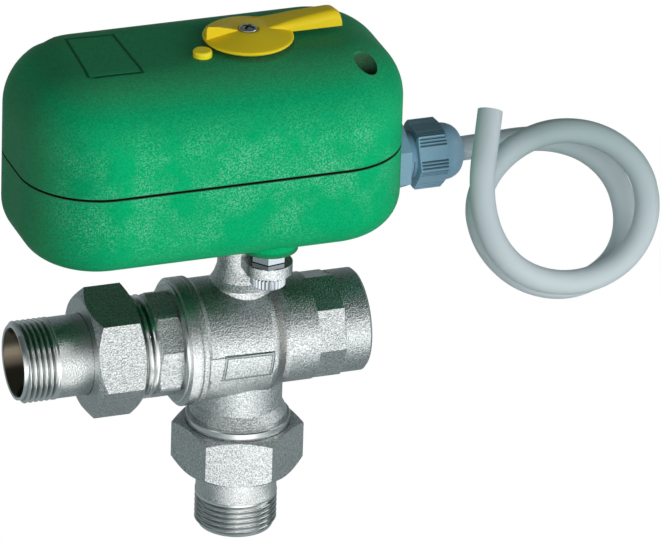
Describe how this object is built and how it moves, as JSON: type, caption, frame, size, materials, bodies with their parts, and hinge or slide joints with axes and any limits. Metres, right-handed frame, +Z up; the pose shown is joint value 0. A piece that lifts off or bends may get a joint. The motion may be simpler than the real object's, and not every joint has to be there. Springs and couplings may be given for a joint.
{
  "type": "motorized three-way ball valve",
  "caption": "Diverting ball valve with union ends, driven by a green electric actuator with a yellow position lever, release button and a cable.",
  "frame": {"origin": "centre of the bottom pipe end's face, on the axis of the valve stem", "axes": "+Z up along the stem, +X along the run towards the right port, +Y to the back; the bottom pipe end points along -Z"},
  "size_m": [0.2072, 0.0733, 0.176],
  "materials": {
    "nickel_brass": "nickel-plated brass, bead-blasted, with machined bands and threads",
    "ball_chrome": "chrome-plated and polished",
    "stem_brass": "machined",
    "bronze_bush": "machined bronze",
    "steel": "zinc-plated steel",
    "bright_screws": "bright-plated steel",
    "motor_can": "deep-drawn plated sheet",
    "seat_white": "smooth, slippery fluoropolymer",
    "seal_black": "matte",
    "housing_green": "moulded, slightly speckled, satin",
    "control_yellow": "moulded, satin",
    "gland_grey": "moulded, satin",
    "cable_grey": "soft jacket, satin",
    "core_insulation": "thin insulation",
    "gear_natural": "moulded, natural colour",
    "switch_black": "moulded",
    "plunger_red": "moulded",
    "board_brown": "bare laminate",
    "terminal_beige": "moulded"
  },
  "bodies": {
    "valve": {"valve_body": "nickel_brass", "end_connector": "nickel_brass", "tailpiece_bottom": "nickel_brass", "tailpiece_left": "nickel_brass", "hex_insert": "nickel_brass", "shaft_bush": "bronze_bush", "switch_spacers": "bronze_bush", "button_spring": "steel", "plate_screws": "steel", "switch_screws": "steel", "gear_plate": "steel", "mounting_screw": "bright_screws", "lock_nut": "bright_screws", "cover_screws": "bright_screws", "motor": "motor_can", "ball_seat_left": "seat_white", "ball_seat_right": "seat_white", "stem_washer": "seat_white", "connector_seal": "seal_black", "union_gasket_bottom": "seal_black", "union_gasket_left": "seal_black", "cover_gasket": "seal_black", "gland_seal": "seal_black", "housing_base": "housing_green", "housing_cover": "housing_green", "gland_body": "gland_grey", "gland_dome_nut": "gland_grey", "gland_lock_nut": "gland_grey", "cable_inner_end": "cable_grey", "cable_lead": "cable_grey", "cable_coil": "cable_grey", "cable_tail": "cable_grey", "conductors": "core_insulation", "limit_switch_lower": "switch_black", "limit_switch_upper": "switch_black", "capacitor": "switch_black", "circuit_board": "board_brown", "terminal_block": "terminal_beige"},
    "drive": {"lever": "control_yellow", "lever_screw": "bright_screws", "output_shaft": "steel", "output_gear": "gear_natural", "limit_cam_lower": "gear_natural", "limit_cam_upper": "gear_natural", "stem": "stem_brass", "stem_orings": "seal_black", "ball": "ball_chrome"},
    "release": {"release_button": "control_yellow", "release_rod": "steel"},
    "idler": {"idler_gear": "gear_natural"},
    "motor_rotor": {"motor_shaft": "steel", "motor_pinion": "steel"},
    "plunger_lower": {"switch_plunger_lower": "plunger_red"},
    "plunger_upper": {"switch_plunger_upper": "plunger_red"},
    "nut_bottom": {"union_nut_bottom": "nickel_brass"},
    "nut_left": {"union_nut_left": "nickel_brass"}
  },
  "joints": [
    {"name": "valve_turn", "type": "hinge", "parent": "valve", "child": "drive", "pos_m": [0, 0, 0.1], "axis": [0, 0, 1], "range_deg": [0, 90]},
    {"name": "button_press", "type": "slide", "parent": "valve", "child": "release", "axis": [0, 0, -1], "range_m": [0, 0.002], "stiffness_N_per_m": 1200, "springref_m": -0.001, "deforming": ["button_spring"]},
    {"name": "idler_turn", "type": "hinge", "parent": "release", "child": "idler", "pos_m": [-0.01724, -0.00644, 0.132], "axis": [0, 0, 1], "range_deg": [-324, 0]},
    {"name": "motor_turn", "type": "hinge", "parent": "valve", "child": "motor_rotor", "pos_m": [-0.03009, -0.00452, 0.13], "axis": [0, 0, 1], "range_deg": [0, 1080]},
    {"name": "plunger_lower_slide", "type": "slide", "parent": "valve", "child": "plunger_lower", "axis": [1, 0, 0], "range_m": [0, 0.001]},
    {"name": "plunger_upper_slide", "type": "slide", "parent": "valve", "child": "plunger_upper", "axis": [-1, 0, 0], "range_m": [0, 0.001]},
    {"name": "nut_bottom_spin", "type": "hinge", "parent": "valve", "child": "nut_bottom", "pos_m": [0, 0, 0.0289], "axis": [0, 0, 1], "continuous": true},
    {"name": "nut_left_spin", "type": "hinge", "parent": "valve", "child": "nut_left", "pos_m": [-0.0451, 0, 0.067], "axis": [1, 0, 0], "continuous": true}
  ],
  "couplings": [
    {"joint": "idler_turn", "follows": "valve_turn", "ratio": -3.6},
    {"joint": "motor_turn", "follows": "valve_turn", "ratio": 12},
    {"joint": "plunger_lower_slide", "follows": "valve_turn", "m_per_rad": 0.0006366},
    {"joint": "plunger_upper_slide", "follows": "valve_turn", "m_per_rad": 0.0006366}
  ]
}
